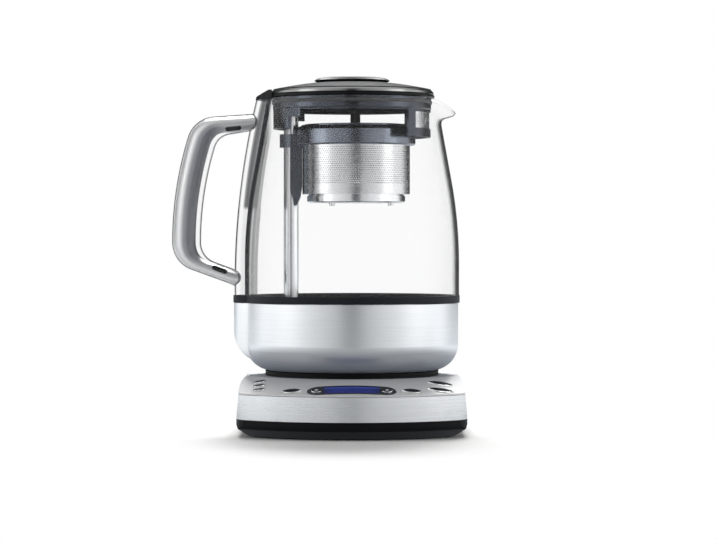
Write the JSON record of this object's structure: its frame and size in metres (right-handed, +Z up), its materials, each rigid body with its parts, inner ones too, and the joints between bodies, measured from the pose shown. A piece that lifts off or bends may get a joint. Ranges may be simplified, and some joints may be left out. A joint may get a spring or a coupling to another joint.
{
  "type": "automatic tea maker",
  "caption": "Glass kettle jug with a motor-lifted infuser basket, metal-cored handle and lift-out lid, standing on a steel control base with a display and push keys.",
  "frame": {"origin": "on the floor under the jug's axis, in the plane of the rubber foot ring's underside", "axes": "+Z up along the jug's axis, +X towards the spout, -X towards the handle, -Y towards the person at the control panel"},
  "size_m": [0.2123, 0.182, 0.2565],
  "materials": {
    "rubber_foot": "matt black rubber",
    "black_shell": "fine satin black",
    "screw_steel": "plain steel",
    "band_steel": "horizontal brushing",
    "panel_steel": "fine brushing along X",
    "black_inner": "plain black",
    "contact_brass": "bright contact metal",
    "board": "green board with a gloss film",
    "bezel_dark": "gloss dark grey",
    "display_blue": "blue backlit display",
    "arrow_key": "grey key with a white arrow",
    "small_key": "polished",
    "select_key": "dark gloss",
    "start_key": "dark polished with a bright edge",
    "black_foot": "satin black",
    "bowl_steel": "horizontal brushing",
    "plate_steel": "satin stainless",
    "element_aluminium": "cast",
    "gasket_rubber": "satin dark grey",
    "jug_glass": "clear glass",
    "clear_spine": "clear moulding",
    "black_trim": "gloss black",
    "clear_shell": "clear moulding",
    "handle_metal": "satin metal under the clear shell",
    "post_steel": "polished tube",
    "motor_steel": "zinc plated can",
    "magnet": "plated magnet",
    "slate_plastic": "satin slate grey",
    "mesh_steel": "perforated stainless sheet",
    "slate_clear": "slightly translucent slate grey",
    "seal_rubber": "soft silicone",
    "cover_steel": "polished dome",
    "knob_dark": "dark satin"
  },
  "bodies": {
    "power_base": {"foot_ring": "rubber_foot", "base_shell": "black_shell", "base_screws": "screw_steel", "base_band": "band_steel", "top_plate": "panel_steel", "power_connector": "black_inner", "power_contacts": "contact_brass", "cord_gland": "black_inner", "control_board": "board", "display_module": "black_inner", "display_bezel": "bezel_dark", "display_window": "display_blue"},
    "jug": {"jug_foot": "black_foot", "foot_screws": "screw_steel", "steel_bowl": "bowl_steel", "heater_plate": "plate_steel", "heating_element": "element_aluminium", "jug_connector": "black_inner", "seam_gasket": "gasket_rubber", "glass_jug": "jug_glass", "spine": "clear_spine", "spine_cap": "black_trim", "handle_shell": "clear_shell", "handle_core": "handle_metal", "guide_post": "post_steel", "lift_motor": "motor_steel"},
    "lid": {"lid_skirt": "slate_clear", "lid_seal": "seal_rubber", "spout_strainer": "mesh_steel", "lid_rim": "black_trim", "lid_cover": "cover_steel", "lid_knob": "knob_dark"},
    "basket": {"basket_rim": "slate_plastic", "basket_shoe": "slate_plastic", "basket_magnet": "magnet", "basket_mesh": "mesh_steel", "basket_floor": "mesh_steel"},
    "basket_cover": {"basket_lid": "slate_plastic", "basket_knob": "black_trim"},
    "lift_drive": {"lift_screw": "screw_steel"},
    "carriage": {"magnet_carriage": "magnet"},
    "arrow_left_key": {"arrow_left": "arrow_key"},
    "arrow_right_key": {"arrow_right": "arrow_key"},
    "small_button_rear_key": {"small_button_rear": "small_key"},
    "small_button_middle_key": {"small_button_middle": "small_key"},
    "small_button_front_key": {"small_button_front": "small_key"},
    "select_button_left_key": {"select_button_left": "select_key"},
    "select_button_right_key": {"select_button_right": "select_key"},
    "start_button_rear_key": {"start_button_rear": "start_key"},
    "start_button_front_key": {"start_button_front": "start_key"}
  },
  "joints": [
    {"name": "jug_lift", "type": "slide", "parent": "power_base", "child": "jug", "axis": [0, 0, 1], "range_m": [0, 0.06]},
    {"name": "lid_lift", "type": "slide", "parent": "jug", "child": "lid", "axis": [0, 0, 1], "range_m": [0, 0.05]},
    {"name": "basket_slide", "type": "slide", "parent": "jug", "child": "basket", "axis": [0, 0, -1], "range_m": [0, 0.062]},
    {"name": "carriage_slide", "type": "slide", "parent": "jug", "child": "carriage", "axis": [0, 0, -1], "range_m": [0, 0.062]},
    {"name": "screw_turn", "type": "hinge", "parent": "jug", "child": "lift_drive", "pos_m": [-0.0442, 0, 0.15], "axis": [0, 0, 1], "range_deg": [0, 2791]},
    {"name": "basket_lid_lift", "type": "slide", "parent": "basket", "child": "basket_cover", "axis": [0, 0, 1], "range_m": [0, 0.008]},
    {"name": "arrow_left_press", "type": "slide", "parent": "power_base", "child": "arrow_left_key", "axis": [0, 0.2915, -0.9566], "range_m": [0, 0.0008], "stiffness_N_per_m": 600, "springref_m": -0.0005},
    {"name": "arrow_right_press", "type": "slide", "parent": "power_base", "child": "arrow_right_key", "axis": [0, 0.2915, -0.9566], "range_m": [0, 0.0008], "stiffness_N_per_m": 600, "springref_m": -0.0005},
    {"name": "small_button_rear_press", "type": "slide", "parent": "power_base", "child": "small_button_rear_key", "axis": [0.2164, 0.1954, -0.9566], "range_m": [0, 0.0008], "stiffness_N_per_m": 600, "springref_m": -0.0005},
    {"name": "small_button_middle_press", "type": "slide", "parent": "power_base", "child": "small_button_middle_key", "axis": [0.2002, 0.2119, -0.9566], "range_m": [0, 0.0008], "stiffness_N_per_m": 600, "springref_m": -0.0005},
    {"name": "small_button_front_press", "type": "slide", "parent": "power_base", "child": "small_button_front_key", "axis": [0.1853, 0.2251, -0.9566], "range_m": [0, 0.0008], "stiffness_N_per_m": 600, "springref_m": -0.0005},
    {"name": "select_button_left_press", "type": "slide", "parent": "power_base", "child": "select_button_left_key", "axis": [0.1186, 0.2663, -0.9566], "range_m": [0, 0.0008], "stiffness_N_per_m": 600, "springref_m": -0.0005},
    {"name": "select_button_right_press", "type": "slide", "parent": "power_base", "child": "select_button_right_key", "axis": [-0.1186, 0.2663, -0.9566], "range_m": [0, 0.0008], "stiffness_N_per_m": 600, "springref_m": -0.0005},
    {"name": "start_button_rear_press", "type": "slide", "parent": "power_base", "child": "start_button_rear_key", "axis": [-0.1997, 0.2124, -0.9566], "range_m": [0, 0.0008], "stiffness_N_per_m": 600, "springref_m": -0.0005},
    {"name": "start_button_front_press", "type": "slide", "parent": "power_base", "child": "start_button_front_key", "axis": [-0.176, 0.2324, -0.9566], "range_m": [0, 0.0008], "stiffness_N_per_m": 600, "springref_m": -0.0005}
  ],
  "couplings": [
    {"joint": "carriage_slide", "follows": "basket_slide", "ratio": 1},
    {"joint": "screw_turn", "follows": "basket_slide", "rad_per_m": 785.4}
  ]
}
